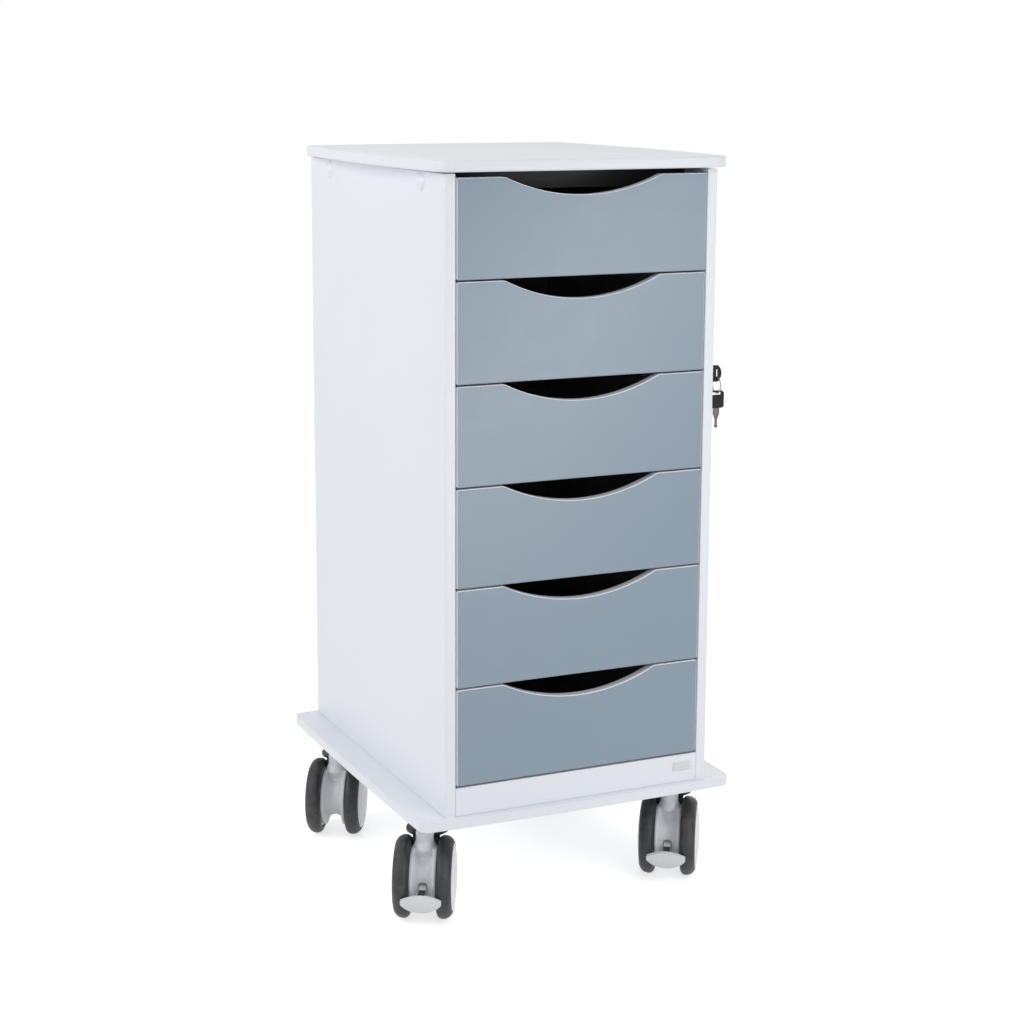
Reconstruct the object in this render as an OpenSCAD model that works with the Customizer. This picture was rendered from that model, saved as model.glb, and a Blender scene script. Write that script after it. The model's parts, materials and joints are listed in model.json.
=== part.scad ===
/* [Cabinet] */
// Width over the two side panels
body_w = 355; // [340:1:400]
// Depth of the side panels, front to back
body_d = 457; // [450:1:520]
// Thickness of the side panels
panel_t = 13; // [12:0.5:18]
// Thickness of the back panel
back_t = 5; // [3:0.5:12]
// Height of the fixed rail under the drawers
rail_h = 35.4; // [25:0.1:60]
// Thickness of the fixed rail under the drawers
rail_t = 12; // [10:0.5:20]
// Depth of each cross rail under the top
cross_rail_d = 30; // [20:1:50]
// Height of each cross rail under the top
cross_rail_h = 24; // [16:0.5:26]
// Height of the small plate on the fixed rail
plate_h = 10.5; // [6:0.5:20]
// Width of the small plate on the fixed rail
plate_w = 25; // [15:1:60]
// Thickness of the small plate on the fixed rail
plate_t = 0.8; // [0.4:0.1:2]

/* [Top panel] */
// Thickness of the top panel
top_t = 13.5; // [10:0.5:25]
// Shadow gap between the side panels and the top
top_gap = 2; // [0:0.5:4]
// How far the top's sides stand out from the side panels, at mid depth
top_side_overhang = 23.5; // [15:0.5:40]
// How far the top stands out in front
top_front_overhang = 16; // [5:0.5:40]
// How far the top stands out at the back
top_back_overhang = 0; // [0:0.5:20]
// How far the top's sides curve in towards their corners
top_side_bow = 14; // [2:0.5:18]
// How far the top's front and back curve in towards their corners
top_front_bow = 3; // [1:0.5:12]
// Radius of the top's corners
top_corner_r = 20; // [5:1:40]

/* [Base panel] */
// Thickness of the base panel
base_t = 12; // [10:0.5:25]
// How far the base's sides stand out from the side panels, at mid depth
base_side_overhang = 36; // [15:0.5:50]
// How far the base stands out in front
base_front_overhang = 11; // [5:0.5:40]
// How far the base stands out at the back
base_back_overhang = 7; // [5:0.5:40]
// How far the base's sides curve in towards their corners
base_side_bow = 2.6; // [1:0.2:10]
// How far the base's front and back curve in towards their corners
base_front_bow = 4.5; // [1:0.5:10]
// Radius of the base's corners
base_corner_r = 12; // [5:1:40]

/* [Drawers] */
// Height of each drawer front
front_h = 119.2; // [114:0.2:140]
// Thickness of each drawer front
front_t = 12; // [8:0.5:20]
// Gap between one drawer front and the next
front_gap = 2; // [1:0.5:4]
// Gap between a drawer front and each side panel
front_side_gap = 1.5; // [0.5:0.5:4]
// Gap between the highest drawer front and the top panel
head_gap = 4.4; // [3:0.2:10]
// Width of the finger scoop at the front's upper edge
scoop_w = 204; // [120:2:260]
// Depth of the finger scoop below the front's upper edge
scoop_depth = 24.5; // [14:0.5:25]
// Height of the tray walls
tray_h = 88; // [70:1:88]
// Thickness of the tray walls
tray_wall = 2.5; // [1.5:0.5:5]
// Thickness of the tray floor
tray_floor = 2.5; // [1.5:0.5:5]
// Height of the tray's underside above its front's lower edge
tray_lift = 6; // [4:0.5:6]
// Free space behind each tray
tray_back_gap = 40; // [25:1:120]

/* [Drawer slides] */
// Height of each slide
slide_h = 35; // [25:1:45]
// Thickness of each slide
slide_t = 12.7; // [12.2:0.1:16]
// Sheet thickness of the slide members
slide_sheet = 1.2; // [1:0.1:1.5]
// Running gap between slide members
slide_play = 0.5; // [0.3:0.1:0.8]
// How far the middle and drawer members are set back from the slide's front
slide_setback = 6; // [2:1:12]
// Height of the slide's middle line above the drawer front's lower edge
slide_z = 50; // [45:1:54]

/* [Lock] */
// Distance of the lock behind the cabinet's front
lock_inset = 40; // [34:0.5:60]
// Distance of the lock below the top edge of the third drawer front
lock_drop = 8.5; // [8:0.5:14]
// Radius of the lock barrel
barrel_r = 9.4; // [8:0.1:10]
// Radius of the lock's outer flange
flange_r = 12.5; // [11:0.5:16]
// Thickness of the lock's outer flange
flange_t = 3.5; // [2:0.5:6]
// Radius of the turning plug
plug_r = 6; // [5:0.1:7]
// Radius of the cam pin's circle about the lock's axis
cam_arm = 9; // [8:0.25:9]
// Radius of the cam pin
cam_pin_r = 1.5; // [1:0.1:1.6]
// Width of the locking bar
bar_w = 16; // [12:0.5:18]
// Thickness of the locking bar
bar_t = 2.5; // [2:0.1:3]
// Running gap around the locking bar in its groove
bar_play = 0.35; // [0.3:0.05:0.6]

/* [Keys] */
// Width of a key's head
head_w = 20.6; // [16:0.2:26]
// Length of a key's head
head_l = 22; // [18:0.5:28]
// Thickness of a key's head
head_t = 2.8; // [2:0.1:4]
// Thickness of a key's blade
blade_t = 2; // [1.5:0.1:2.2]
// Length of the blade that shows between lock and head
blade_show = 8.5; // [4:0.5:14]
// Radius of the key ring, to the middle of its wire
ring_r = 10.2; // [9:0.2:14]
// Radius of the key ring's wire
ring_wire_r = 0.8; // [0.5:0.05:1]

/* [Casters] */
// Height from the floor to the base panel
caster_h = 123; // [120:1:140]
// Radius of the wheels
wheel_r = 50; // [48:0.5:51]
// Width of each wheel's tyre
wheel_w = 19.5; // [16:0.5:26]
// Width of the housing between the twin wheels
housing_w = 32; // [26:0.5:36]
// Running gap between the housing and each wheel
wheel_play = 0.5; // [0.3:0.1:1.5]
// Distance of the wheels' axle behind the swivel axis
caster_trail = 38; // [34:1:42]
// Distance of each swivel axis from the base panel's middle, across the cart
caster_x = 171; // [165:1:180]
// Distance of each swivel axis from the base panel's middle, front to back
caster_y = 154; // [140:1:160]
// Radius of the caster's mounting plate
plate_r = 26.5; // [24:0.5:32]
// Radius of the wheels' axle
axle_r = 4; // [3:0.25:5]
// Radius of the swivel stem
stem_r = 5.5; // [4:0.25:7]
// Width of the brake pedal
pedal_w = 53; // [40:1:70]
// Height of the brake pedal along the wheel's rim
pedal_h = 23; // [14:1:28]

/* [Hidden] */
$fn = 96;
drawer_count = 6;
drawers = [1:drawer_count];
// Running clearance on the radius of a turning shaft
fit = 0.06;
// Assembly clearance between two pieces that are pressed together
seat = 0.02;
// How far a cut reaches past the face it opens
over = 1;
// Facets of the very large arcs, in a full turn
bow_fn = 720;

// Heights, from the floor
base_top = caster_h + base_t;
pitch = front_h + front_gap;
stack_top = base_top + rail_h + drawer_count * pitch;
top_z = stack_top + head_gap;
side_h = top_z - top_gap - base_top;

// Places across and along the cabinet
half_w = body_w / 2;
inner_x = half_w - panel_t;
front_y = -body_d / 2;
back_y = body_d / 2;
tray_x = inner_x - slide_t;
tray_y = front_y + front_t;
slide_y = front_y + front_t + 0.5;
cross_y = 155.5;
cross_rail_z = top_z - cross_rail_h;
base_mid_y = (base_back_overhang - base_front_overhang) / 2;
top_mid_y = (top_back_overhang - top_front_overhang) / 2;

// Screws that join the panels
screw_r = 2;
screw_head_r = 4;
screw_head_h = 2.5;
screw_l = 30;
side_screw_z = top_z - 15;
top_screw_x = 100;
base_screw_y = 60;
rail_screw_x = 90;
cap_r = 11.5;
cap_h = 4.5;

// The slide's nested channels: distances in from the side panel
outer_lip = 8.5;
middle_in = slide_sheet + slide_play;
middle_lip = slide_t - 2 * slide_play - slide_sheet - 0.8;
inner_lip = middle_in + slide_sheet + slide_play;
outer_half = slide_h / 2;
middle_half = outer_half - slide_sheet - slide_play;
inner_half = middle_half - slide_sheet - slide_play;
tray_d = body_d - front_t - back_t - tray_back_gap;
slide_len = tray_d;
moving_len = slide_len - slide_setback - 8;

// The lock, its cam and the locking bar
lock_y = front_y + lock_inset;
lock_z = base_top + rail_h + 4 * pitch - front_gap - lock_drop;
nut_t = 2;
nut_r = barrel_r + 2.6;
cam_t = 2;
cam_gap = 0.3;
cam_x = inner_x - nut_t - cam_gap - cam_t;
cam_r = cam_arm + cam_pin_r + 0.5;
pin_l = 3.4;
ear_t = 2;
ear_x = cam_x - 0.8 - ear_t;
ear_h = 14;
ear_slot_gap = 0.4;
bar_y = lock_y + nut_r + 0.5 + bar_w / 2;
bar_lift = 2 * cam_arm * sin(45);
groove_w = bar_w + 2 * bar_play;
groove_t = bar_t + 2 * bar_play;
lug_h = 12;
lug_t = 2.5;
lug_reach = 9;
lug_z = 75;
catch_h = 8;
catch_d = 8;
catch_t = 5.5;
catch_z = 76;
catch_gap = 2;
groove_z = drawer_z(drawer_count) + lug_z - lug_h;
groove_l = drawer_z(1) + lug_z + lug_h + bar_lift + 12 - groove_z;
bar_z = groove_z + bar_lift + 3;
bar_end_z = groove_z + groove_l - 3;
plug_face_x = half_w + flange_t + 0.5;
plug_back_x = cam_x + cam_t;

// Keys and their ring
key_slot_l = 11;
key_slot_w = 2.8;
key_bridge = 4.8;
head_end_x = plug_face_x + blade_show + head_l;
slot_x = head_end_x - 6;
bridge_z = lock_z - key_slot_l / 2 - key_bridge / 2;
ring_gap = 0.3;
ring_z = bridge_z + key_bridge / 2 + ring_gap + ring_wire_r - ring_r;
spare_slot_l = 13;
spare_slot_h = 3.4;
spare_bridge = 2;
blade_root_l = 6;
spare_shoulder_w = 8.5;
key_blade_w = 7.6;
spare_top_z = ring_z - ring_r + ring_wire_r + ring_gap + spare_bridge;

// Casters: the corner signs and the swivel angle of each at rest
caster_names = ["front_left", "front_right", "rear_left", "rear_right"];
caster_sx = [-1, 1, -1, 1];
caster_sy = [-1, -1, 1, 1];
caster_turn = [-28, -33, -30, -32];
caster_plate_t = 5;
plate_gap = 0.5;
// The swivel head under the plate, and its flange just above the wheels
swivel_head_r = 18;
flange_x = housing_w / 2 + wheel_play + 3;
flange_d = caster_trail - sqrt(plate_r * plate_r - flange_x * flange_x);
flange_z = wheel_r + sqrt(wheel_r * wheel_r - flange_d * flange_d) + 0.5;
swivel_flange_t = 3;
// The head's barrel, which goes down between the two wheels
swivel_barrel_r = housing_w / 2 - 0.5;
swivel_barrel_z = flange_z - 10;
plate_screw_r = 1.75;
plate_screw_head_r = 3.4;
plate_screw_head_h = 1.8;
plate_screw_l = 14;
plate_screw_circle = (swivel_head_r + plate_r) / 2;
neck_r = 11;
neck_top = flange_z - plate_gap;
horn_in = 34;
horn_top = flange_z + swivel_flange_t + 8;
horn_gap = 0.8;
// The neck round the pin, the web behind the horn, and the flare at the horn's foot
neck_z = wheel_r + 8;
neck_foot_h = 8;
web_w = 2 * neck_r - 4;
flare_r = housing_w / 2 - 0.4;
flare_h = 9;
flare_z = neck_top - 1 - flare_h;
stem_l = neck_top - neck_z - 4;
pin_cover = 3;
spool_r = 38;
waist_r = 24.5;
axle_l = housing_w + 2 * wheel_play + 22;
hub_r = wheel_r - 9;
hub_bulge = 3;
hub_rim_step = 1.5;
tyre_outer_round = 10;
tyre_inner_round = 7;
pedal_ring_r = 7.5;
pedal_in_r = wheel_r + 1.3;
pedal_t = 5;
pedal_arm_w = 8.6;
pedal_arm_t = 5;
pedal_tilt = 13;
pedal_press = 14;
pedal_slot_w = pedal_arm_w + 1.4;

// Height of the lower edge of drawer front n, where 1 is the highest drawer
function drawer_z(n) = base_top + rail_h + front_gap + (drawer_count - n) * pitch;

// Radius of the arc that bows by sag over a half chord
function bow_r(half, sag) = (half * half + sag * sag) / (2 * sag);

function length2(v) = sqrt(v[0] * v[0] + v[1] * v[1]);
function unit(v) = v / length2(v);

// The meeting point of two circles on the left of the line from centre a to centre b
function circles_meet(a, ra, b, rb) =
    let (d = length2(b - a))
    let (along = (ra * ra - rb * rb + d * d) / (2 * d))
    let (side = sqrt(ra * ra - along * along))
    let (u = unit(b - a))
    a + along * u + side * [-u[1], u[0]];

// Outline with bowed edges and tangent round corners, centred on the origin
module bowed_outline(half_x, half_y, bow_x, bow_y, corner_r) {
    side_r = bow_r(half_y, bow_x);
    end_r = bow_r(half_x, bow_y);
    side_c = [half_x - side_r, 0];
    end_c = [0, half_y - end_r];
    corner = circles_meet(side_c, side_r - corner_r, end_c, end_r - corner_r);
    reach = 4 * corner_r;
    difference() {
        intersection() {
            translate(side_c) circle(r = side_r, $fn = bow_fn);
            translate(-side_c) circle(r = side_r, $fn = bow_fn);
            translate(end_c) circle(r = end_r, $fn = bow_fn);
            translate(-end_c) circle(r = end_r, $fn = bow_fn);
        }
        for (mx = [0, 1]) {
            for (my = [0, 1]) {
                mirror([mx, 0]) mirror([0, my]) difference() {
                    polygon([
                        corner,
                        corner + reach * unit(corner - side_c),
                        corner + 2 * reach * unit([1, 1]),
                        corner + reach * unit(corner - end_c)
                    ]);
                    translate(corner) circle(r = corner_r);
                }
            }
        }
    }
}

// A panel screw along +Z, its flat head at the bottom
module panel_screw(extra = 0) {
    translate([0, 0, -extra]) cylinder(r = screw_head_r, h = screw_head_h + extra);
    cylinder(r = screw_r, h = screw_l);
}

module each_side_screw() {
    for (mx = [0, 1]) {
        for (s = [-1, 1]) {
            mirror([mx, 0, 0]) translate([half_w, s * cross_y, side_screw_z]) rotate([0, -90, 0]) children();
        }
    }
}

module each_top_screw() {
    for (sx = [-1, 1]) {
        for (sy = [-1, 1]) {
            translate([sx * top_screw_x, sy * cross_y, cross_rail_z]) children();
        }
    }
}

module each_base_screw() {
    for (sx = [-1, 1]) {
        for (sy = [-1, 1]) {
            translate([sx * (half_w - panel_t / 2), sy * base_screw_y, caster_h]) children();
        }
        translate([sx * rail_screw_x, front_y + rail_t / 2, caster_h]) children();
    }
}

module all_screw_holes() {
    each_side_screw() panel_screw(over);
    each_top_screw() panel_screw(over);
    each_base_screw() panel_screw(over);
}

// ---------- cabinet ----------

module top_panel() {
    depth = body_d + top_front_overhang + top_back_overhang;
    color("whitesmoke") difference() {
        translate([0, top_mid_y, top_z]) linear_extrude(top_t)
            bowed_outline(half_w + top_side_overhang, depth / 2, top_side_bow, top_front_bow, top_corner_r);
        each_top_screw() panel_screw();
    }
}

module base_panel() {
    depth = body_d + base_front_overhang + base_back_overhang;
    color("whitesmoke") difference() {
        translate([0, base_mid_y, caster_h]) linear_extrude(base_t)
            bowed_outline(half_w + base_side_overhang, depth / 2, base_side_bow, base_front_bow, base_corner_r);
        each_base_screw() panel_screw(over);
        each_caster() each_plate_screw() plate_screw();
    }
}

module side_panel_board(side) {
    x = side > 0 ? inner_x : -half_w;
    difference() {
        translate([x, front_y, base_top]) cube([panel_t, body_d, side_h]);
        all_screw_holes();
    }
}

module left_side_panel() {
    color("lavender") side_panel_board(-1);
}

module right_side_panel() {
    color("lavender") difference() {
        side_panel_board(1);
        translate([inner_x - over, bar_y - groove_w / 2, groove_z])
            cube([groove_t + over, groove_w, groove_l]);
        translate([inner_x - over, lock_y, lock_z]) rotate([0, 90, 0])
            cylinder(r = barrel_r, h = panel_t + 2 * over);
    }
}

module back_panel() {
    color("gainsboro") translate([-inner_x, back_y - back_t, base_top])
        cube([2 * inner_x, back_t, side_h]);
}

module front_rail() {
    color("white") difference() {
        translate([-inner_x, front_y, base_top]) cube([2 * inner_x, rail_t, rail_h]);
        each_base_screw() panel_screw();
    }
}

module cross_rails() {
    color("dimgray") difference() {
        for (s = [-1, 1]) {
            translate([-inner_x, s * cross_y - cross_rail_d / 2, cross_rail_z])
                cube([2 * inner_x, cross_rail_d, cross_rail_h]);
        }
        each_side_screw() panel_screw();
        each_top_screw() panel_screw(over);
    }
}

// Round cover with a domed face, along +Z
module dome(r, h) {
    ball_r = bow_r(r, h);
    rotate_extrude() intersection() {
        translate([0, h - ball_r]) circle(r = ball_r);
        square([r, h]);
    }
}

module screw_caps() {
    color("white") for (mx = [0, 1]) {
        for (s = [-1, 1]) {
            mirror([mx, 0, 0]) translate([half_w, s * cross_y, side_screw_z]) rotate([0, 90, 0])
                dome(cap_r, cap_h);
        }
    }
}

module panel_screws() {
    color("silver") {
        each_side_screw() panel_screw();
        each_top_screw() panel_screw();
        each_base_screw() panel_screw();
    }
}

module name_plate() {
    plate_right = inner_x - 8;
    color("lightgray") translate([plate_right - plate_w, front_y - plate_t, base_top + (rail_h - plate_h) / 2 + 2.5])
        cube([plate_w, plate_t, plate_h]);
}

// ---------- drawers ----------

module drawer_front(n) {
    scoop_r = bow_r(scoop_w / 2, scoop_depth);
    top_edge = drawer_z(n) + front_h;
    half = inner_x - front_side_gap;
    color("lightslategray") difference() {
        translate([-half, front_y, drawer_z(n)]) cube([2 * half, front_t, front_h]);
        translate([0, front_y - over, top_edge - scoop_depth + scoop_r]) rotate([-90, 0, 0])
            cylinder(r = scoop_r, h = front_t + 2 * over, $fn = bow_fn);
    }
}

module drawer_tray(n) {
    z = drawer_z(n) + tray_lift;
    catch_y = bar_y - bar_w / 2 + lug_t + catch_gap;
    color("dimgray") {
        difference() {
            translate([-tray_x, tray_y, z]) cube([2 * tray_x, tray_d, tray_h]);
            translate([tray_wall - tray_x, tray_y + tray_wall, z + tray_floor])
                cube([2 * (tray_x - tray_wall), tray_d - 2 * tray_wall, tray_h]);
        }
        translate([tray_x, catch_y, drawer_z(n) + catch_z]) cube([catch_t, catch_d, catch_h]);
    }
}

// A channel of sheet metal along Y, its web on the side panel's side.
// near and far are its distances in from the side panel.
module channel(near, far, half, y, len) {
    translate([inner_x - far, y, -half]) difference() {
        cube([far - near, len, 2 * half]);
        translate([-over, -over, slide_sheet])
            cube([far - near - slide_sheet + over, len + 2 * over, 2 * (half - slide_sheet)]);
    }
}

// The drawer's member opens towards the side panel instead
module drawer_channel(near, far, half, y, len) {
    translate([inner_x - far, y, -half]) difference() {
        cube([far - near, len, 2 * half]);
        translate([slide_sheet, -over, slide_sheet])
            cube([far - near, len + 2 * over, 2 * (half - slide_sheet)]);
    }
}

module on_both_sides(n) {
    for (mx = [0, 1]) {
        mirror([mx, 0, 0]) translate([0, 0, drawer_z(n) + slide_z]) children();
    }
}

module slide_outer_members() {
    color("silver") for (n = drawers) {
        on_both_sides(n) channel(0, outer_lip, outer_half, slide_y, slide_len);
    }
}

module slide_middle(n) {
    color("lightgray") on_both_sides(n)
        channel(middle_in, middle_lip, middle_half, slide_y + slide_setback, moving_len);
}

module slide_inner(n) {
    color("silver") on_both_sides(n)
        drawer_channel(inner_lip, slide_t, inner_half, slide_y, moving_len);
}

// ---------- lock ----------

// Along +X from the side panel's inner face, on the lock's axis
module at_lock(x) {
    translate([x, lock_y, lock_z]) rotate([0, 90, 0]) children();
}

module lock_housing() {
    color("silver") difference() {
        union() {
            at_lock(inner_x - nut_t) cylinder(r = barrel_r, h = nut_t + panel_t);
            at_lock(half_w) cylinder(r = flange_r, h = flange_t);
        }
        at_lock(inner_x - nut_t - over) cylinder(r = plug_r + fit, h = nut_t + panel_t + flange_t + 2 * over);
    }
}

module lock_nut() {
    color("silver") difference() {
        at_lock(inner_x - nut_t) cylinder(r = nut_r, h = nut_t, $fn = 6);
        at_lock(inner_x - nut_t - over) cylinder(r = barrel_r, h = nut_t + 2 * over);
    }
}

module lock_plug() {
    key_depth = 11;
    color("gainsboro") difference() {
        at_lock(plug_back_x) cylinder(r = plug_r, h = plug_face_x - plug_back_x);
        translate([plug_face_x - key_depth, lock_y - blade_t / 2 - 0.1, lock_z - key_blade_w / 2 - 0.1])
            cube([key_depth + over, blade_t + 0.2, key_blade_w + 0.2]);
    }
}

// The disc on the plug's inner end, with the pin that lifts the bar
module lock_cam() {
    pin_side = cam_arm * cos(45);
    color("silver") {
        at_lock(cam_x) cylinder(r = cam_r, h = cam_t);
        translate([cam_x - pin_l, lock_y + pin_side, lock_z + pin_side]) rotate([0, 90, 0])
            cylinder(r = cam_pin_r, h = pin_l + cam_t / 2);
    }
}

module lock_bar() {
    x0 = inner_x + bar_play;
    front_edge = bar_y - bar_w / 2;
    ear_z = lock_z + cam_arm * sin(45) - ear_h / 2;
    ear_front = lock_y + cam_arm * cos(45) - cam_pin_r - 3;
    slot_front = lock_y + cam_arm * cos(45) - cam_pin_r - ear_slot_gap;
    slot_back = lock_y + cam_arm + cam_pin_r + ear_slot_gap;
    slot_h = 2 * (cam_pin_r + ear_slot_gap);
    color("silver") {
        translate([x0, front_edge, bar_z]) cube([bar_t, bar_w, bar_end_z - bar_z]);
        for (n = drawers) {
            translate([inner_x - lug_reach, front_edge, drawer_z(n) + lug_z + bar_lift])
                cube([lug_reach + bar_play, lug_t, lug_h]);
        }
        difference() {
            union() {
                translate([ear_x, front_edge + 1, ear_z]) cube([x0 - ear_x, bar_t, ear_h]);
                translate([ear_x, ear_front, ear_z]) cube([ear_t, front_edge + 1 + bar_t - ear_front, ear_h]);
            }
            translate([ear_x - over, slot_front, ear_z + (ear_h - slot_h) / 2])
                cube([ear_t + 2 * over, slot_back - slot_front, slot_h]);
        }
    }
}

// A flat key in the XY plane: its head ends at the origin and its blade runs towards -X.
// The slot for the ring lies along Y at slot_in from the head's end.
module key_head(slot_in, slot_l, slot_w) {
    round_r = 13;
    linear_extrude(head_t) difference() {
        intersection() {
            translate([-head_l, -head_w / 2]) square([head_l, head_w]);
            union() {
                translate([-round_r, 0]) circle(r = round_r);
                translate([-head_l, -head_w / 2]) square([head_l - round_r + 4, head_w]);
            }
        }
        translate([-slot_in - slot_w / 2, (slot_w - slot_l) / 2]) square([slot_w, slot_l - slot_w]);
        for (s = [-1, 1]) {
            translate([-slot_in, s * (slot_l - slot_w) / 2]) circle(d = slot_w);
        }
    }
}

// The part of a blade that the head is moulded around, grown by gap on every side
module blade_root(w, gap) {
    translate([-w / 2 - gap, -gap, (head_t - blade_t) / 2 - gap])
        cube([w + 2 * gap, blade_root_l + 2 * gap, blade_t + 2 * gap]);
}

module key() {
    blade_in = 10;
    translate([head_end_x, lock_y + head_t / 2, lock_z]) rotate([90, 0, 0]) {
        color("black") difference() {
            key_head(head_end_x - slot_x, key_slot_l, key_slot_w);
            translate([-head_l, 0, 0]) rotate(-90) blade_root(key_blade_w, seat);
        }
        color("silver") {
            translate([-head_l - blade_show - blade_in, -key_blade_w / 2, (head_t - blade_t) / 2])
                cube([blade_show + blade_in, key_blade_w, blade_t]);
            translate([-head_l, 0, 0]) rotate(-90) blade_root(key_blade_w, 0);
        }
    }
}

module key_ring() {
    color("silver") translate([slot_x, lock_y, ring_z]) rotate([0, 90, 0]) rotate_extrude()
        translate([ring_r, 0]) circle(r = ring_wire_r, $fn = 32);
}

module spare_head_outline() {
    corner = 3;
    foot = 1.5;
    slot_mid = spare_bridge + spare_slot_h / 2;
    difference() {
        polygon([
            [corner - head_w / 2, 0], [head_w / 2 - corner, 0], [head_w / 2, -corner],
            [head_w / 2, foot - head_l], [head_w / 2 - corner, -head_l],
            [corner - head_w / 2, -head_l], [-head_w / 2, foot - head_l], [-head_w / 2, -corner]
        ]);
        translate([0, -slot_mid]) square([spare_slot_l, spare_slot_h], center = true);
    }
}

// The spare key's blade below its head: a shoulder, a slim neck and a round tip
module spare_blade_outline() {
    shoulder_l = 7.5;
    taper_l = 7;
    neck_w = 2.6;
    tip_r = 2.2;
    blade_l = 25;
    translate([-spare_shoulder_w / 2, -shoulder_l]) square([spare_shoulder_w, shoulder_l]);
    polygon([
        [-spare_shoulder_w / 2, -shoulder_l], [spare_shoulder_w / 2, -shoulder_l],
        [neck_w / 2, -shoulder_l - taper_l], [neck_w / 2, tip_r - blade_l],
        [-neck_w / 2, tip_r - blade_l], [-neck_w / 2, -shoulder_l - taper_l]
    ]);
    translate([0, tip_r - blade_l]) circle(r = tip_r);
}

module spare_key() {
    translate([slot_x, lock_y + head_t / 2, spare_top_z]) rotate([90, 0, 0]) {
        color("black") difference() {
            linear_extrude(head_t) spare_head_outline();
            translate([0, -head_l, 0]) blade_root(spare_shoulder_w, seat);
        }
        color("silver") translate([0, -head_l, 0]) {
            blade_root(spare_shoulder_w, 0);
            translate([0, 0, (head_t - blade_t) / 2]) linear_extrude(blade_t) spare_blade_outline();
        }
    }
}

// ---------- casters ----------

// A caster's own frame: the swivel axis is Z, the axle runs along X and trails towards -Y
module at_caster(i) {
    translate([caster_sx[i] * caster_x, base_mid_y + caster_sy[i] * caster_y, 0])
        rotate(caster_turn[i]) children();
}

module each_caster() {
    for (i = [0:3]) {
        at_caster(i) children();
    }
}

// The axle's frame: X along the axle, -Y towards the trailing side
module at_axle() {
    translate([0, -caster_trail, wheel_r]) children();
}

module each_plate_screw() {
    for (a = [45:90:315]) {
        rotate(a) translate([plate_screw_circle, 0, caster_h - caster_plate_t]) children();
    }
}

module plate_screw() {
    cylinder(r1 = plate_screw_head_r, r2 = plate_screw_r, h = plate_screw_head_h);
    cylinder(r = plate_screw_r, h = plate_screw_l);
}

module caster_plates() {
    color("black") each_caster() {
        difference() {
            union() {
                translate([0, 0, caster_h - caster_plate_t]) cylinder(r = plate_r, h = caster_plate_t);
                translate([0, 0, flange_z]) cylinder(r = swivel_head_r, h = caster_h - caster_plate_t - flange_z);
                translate([0, 0, flange_z]) cylinder(r = plate_r, h = swivel_flange_t);
                translate([0, 0, swivel_barrel_z]) cylinder(r = swivel_barrel_r, h = flange_z - swivel_barrel_z + over);
            }
            each_plate_screw() plate_screw();
            swivel_pin(seat);
        }
    }
}

// The pin that a caster turns on, fixed in the head
module swivel_pin(gap = 0) {
    translate([0, 0, flange_z - stem_l])
        cylinder(r = stem_r + gap, h = stem_l + caster_h - pin_cover - flange_z + gap);
}

module swivel_pins() {
    color("silver") each_caster() swivel_pin();
}

module caster_screws() {
    color("silver") each_caster() each_plate_screw() plate_screw();
}

// The opening in a braked housing through which the pedal's arm passes
module pedal_slot() {
    reach = 2 * wheel_r;
    from = 4;
    to = pedal_tilt + pedal_press + 12;
    rotate([0, 90, 0]) cylinder(r = pedal_ring_r + 0.7, h = pedal_slot_w, center = true);
    rotate([90, 0, 90]) linear_extrude(pedal_slot_w, center = true) polygon([
        [0, 3], [-reach * cos(from), -reach * sin(from)], [-reach * cos(to), -reach * sin(to)], [0, -3]
    ]);
}

// The waisted body on the axle, open by an arch below
module spool() {
    arch_r = 11.6;
    rotate([0, 90, 0]) rotate_extrude() difference() {
        translate([0, -housing_w / 2]) square([spool_r, housing_w]);
        translate([waist_r + arch_r, 0]) circle(r = arch_r);
    }
}

// The horn that rises in front of the swivel head, and the web that ties it to the neck
module horn() {
    translate([0, -horn_in, wheel_r]) cylinder(r = neck_r, h = horn_top - wheel_r);
    translate([0, -horn_in, flare_z]) cylinder(r1 = flare_r, r2 = neck_r, h = flare_h);
    translate([0, -horn_in, flare_z - flare_h]) cylinder(r1 = neck_r, r2 = flare_r, h = flare_h);
    translate([0, 0, wheel_r]) rotate([90, 0, 90]) linear_extrude(web_w, center = true) polygon([
        [neck_r - 1, 14], [neck_r - 1, neck_top - wheel_r], [-horn_in, neck_top - wheel_r],
        [-horn_in, 0], [-6, -4]
    ]);
}

// The housing of caster i, with its axle fixed in it
module housing(i) {
    color("silver") at_caster(i) difference() {
        union() {
            translate([0, 0, neck_z]) cylinder(r1 = neck_r, r2 = swivel_barrel_r, h = neck_foot_h);
            translate([0, 0, neck_z + neck_foot_h])
                cylinder(r = swivel_barrel_r, h = neck_top - neck_z - neck_foot_h);
            at_axle() spool();
            horn();
        }
        translate([0, 0, neck_top]) cylinder(r = plate_r + horn_gap, h = caster_h);
        translate([0, 0, swivel_barrel_z - plate_gap]) cylinder(r = swivel_barrel_r + horn_gap, h = caster_h);
        translate([0, 0, neck_top - stem_l]) cylinder(r = stem_r + fit, h = stem_l + over);
        at_axle() rotate([0, 90, 0]) cylinder(r = axle_r + seat, h = axle_l, center = true);
        if (i < 2) at_axle() pedal_slot();
    }
    color("gray") at_caster(i) at_axle() rotate([0, 90, 0]) cylinder(r = axle_r, h = axle_l, center = true);
}

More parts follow.
